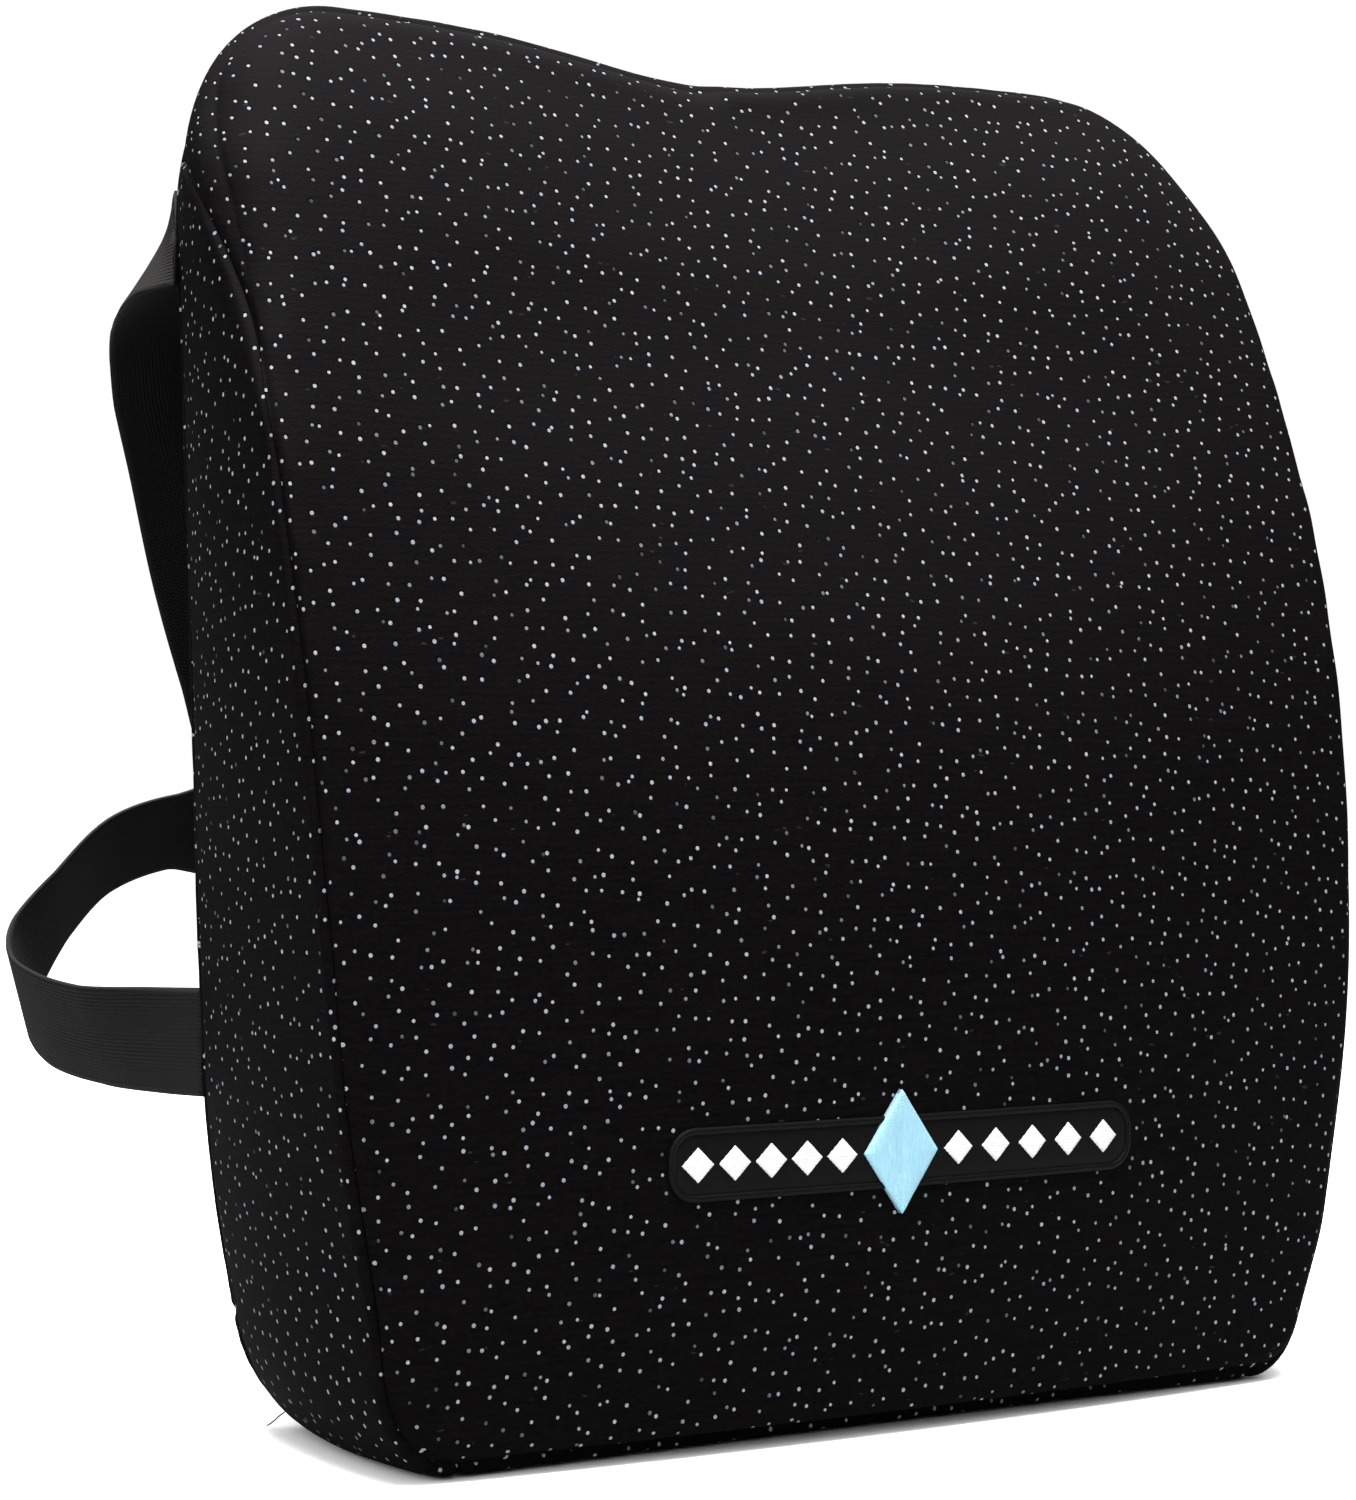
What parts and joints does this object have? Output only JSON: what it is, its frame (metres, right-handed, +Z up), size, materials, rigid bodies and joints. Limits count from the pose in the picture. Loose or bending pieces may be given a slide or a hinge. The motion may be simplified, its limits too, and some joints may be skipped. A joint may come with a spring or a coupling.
{
  "type": "lumbar support cushion",
  "caption": "Wedge-shaped foam back cushion in a zipped dotted knit cover, with webbing straps that close on side-release buckles behind a chair back.",
  "frame": {"origin": "middle of the bottom gusset's flat face; the back panel's outer face is 42 mm behind it", "axes": "+X to the right seen from the front, +Y from the front face towards the back, +Z up"},
  "size_m": [0.302, 0.2151, 0.3297],
  "materials": {
    "cover_fabric": "black knit with scattered pale pin dots",
    "foam": "open-cell memory foam, stands in for foam",
    "embroidery_thread": "black satin stitch with pale blue and white thread",
    "zipper_tape": "woven tape",
    "zipper_coil": "nylon coil",
    "zipper_metal": "black painted zinc",
    "webbing": "ribbed elastic webbing",
    "buckle_plastic": "black acetal"
  },
  "bodies": {
    "cushion": {"foam_core": "foam", "cover_front_panel": "cover_fabric", "cover_gusset_right": "cover_fabric", "cover_gusset_left": "cover_fabric", "cover_gusset_bottom": "cover_fabric", "cover_back_panel_upper": "cover_fabric", "cover_back_panel_lower": "cover_fabric", "front_embroidery": "embroidery_thread", "zipper_tape_upper": "zipper_tape", "zipper_tape_lower": "zipper_tape", "zipper_coil_upper": "zipper_coil", "zipper_coil_lower": "zipper_coil", "zipper_stop_left": "zipper_metal", "zipper_stop_right": "zipper_metal"},
    "zip_slider": {"zipper_slider": "zipper_metal"},
    "zip_pull": {"zipper_pull": "zipper_metal"},
    "upper_strap": {"upper_strap_left": "webbing", "upper_strap_right": "webbing", "upper_buckle_socket": "buckle_plastic"},
    "upper_plug": {"upper_buckle_plug": "buckle_plastic"},
    "upper_latch_a": {"upper_buckle_latch_a": "buckle_plastic"},
    "upper_latch_b": {"upper_buckle_latch_b": "buckle_plastic"},
    "upper_adjuster": {"upper_strap_adjuster": "buckle_plastic"},
    "lower_strap": {"lower_strap_left": "webbing", "lower_strap_right": "webbing", "lower_buckle_socket": "buckle_plastic"},
    "lower_plug": {"lower_buckle_plug": "buckle_plastic"},
    "lower_latch_a": {"lower_buckle_latch_a": "buckle_plastic"},
    "lower_latch_b": {"lower_buckle_latch_b": "buckle_plastic"},
    "lower_adjuster": {"lower_strap_adjuster": "buckle_plastic"}
  },
  "joints": [
    {"name": "zipper_travel", "type": "slide", "parent": "cushion", "child": "zip_slider", "axis": [1, 0, 0], "range_m": [0, 0.205], "deforming": ["zipper_coil_upper", "zipper_coil_lower"]},
    {"name": "zipper_pull_flip", "type": "hinge", "parent": "zip_slider", "child": "zip_pull", "pos_m": [-0.10405, 0.04525, 0.028], "axis": [0, 0, 1], "range_deg": [0, 175]},
    {"name": "upper_strap_swing", "type": "hinge", "parent": "cushion", "child": "upper_strap", "pos_m": [0, 0.042, 0.273], "axis": [1, 0, 0], "range_deg": [-10, 100], "stiffness_Nm_per_rad": 0.08, "deforming": ["upper_strap_left", "upper_strap_right"]},
    {"name": "lower_strap_swing", "type": "hinge", "parent": "cushion", "child": "lower_strap", "pos_m": [0, 0.042, 0.09], "axis": [1, 0, 0], "range_deg": [-40, 0], "stiffness_Nm_per_rad": 0.25, "deforming": ["lower_strap_left", "lower_strap_right"]},
    {"name": "upper_buckle_release", "type": "slide", "parent": "upper_strap", "child": "upper_plug", "axis": [1, 0, 0], "range_m": [0, 0.026], "deforming": ["upper_strap_right"]},
    {"name": "upper_latch_a_squeeze", "type": "hinge", "parent": "upper_plug", "child": "upper_latch_a", "pos_m": [-0.0065, 0.099, 0.128], "axis": [0, 0, 1], "range_deg": [0, 6], "stiffness_Nm_per_rad": 0.2},
    {"name": "upper_latch_b_squeeze", "type": "hinge", "parent": "upper_plug", "child": "upper_latch_b", "pos_m": [-0.0065, 0.081, 0.128], "axis": [0, 0, 1], "range_deg": [-6, 0]},
    {"name": "upper_adjuster_slide", "type": "slide", "parent": "upper_strap", "child": "upper_adjuster", "axis": [1, 0, 0], "range_m": [0, 0.012], "deforming": ["upper_strap_right"]},
    {"name": "lower_buckle_release", "type": "slide", "parent": "lower_strap", "child": "lower_plug", "axis": [1, 0, 0], "range_m": [0, 0.026], "deforming": ["lower_strap_right"]},
    {"name": "lower_latch_a_squeeze", "type": "hinge", "parent": "lower_plug", "child": "lower_latch_a", "pos_m": [0.0075, 0.16, 0.145], "axis": [0, -1, 0], "range_deg": [0, 6], "stiffness_Nm_per_rad": 0.2},
    {"name": "lower_latch_b_squeeze", "type": "hinge", "parent": "lower_plug", "child": "lower_latch_b", "pos_m": [0.0075, 0.16, 0.127], "axis": [0, -1, 0], "range_deg": [-6, 0]},
    {"name": "lower_adjuster_slide", "type": "slide", "parent": "lower_strap", "child": "lower_adjuster", "axis": [1, 0, 0], "range_m": [0, 0.022], "deforming": ["lower_strap_right"]}
  ],
  "couplings": [
    {"joint": "upper_latch_b_squeeze", "follows": "upper_latch_a_squeeze", "ratio": -1},
    {"joint": "lower_latch_b_squeeze", "follows": "lower_latch_a_squeeze", "ratio": -1}
  ]
}
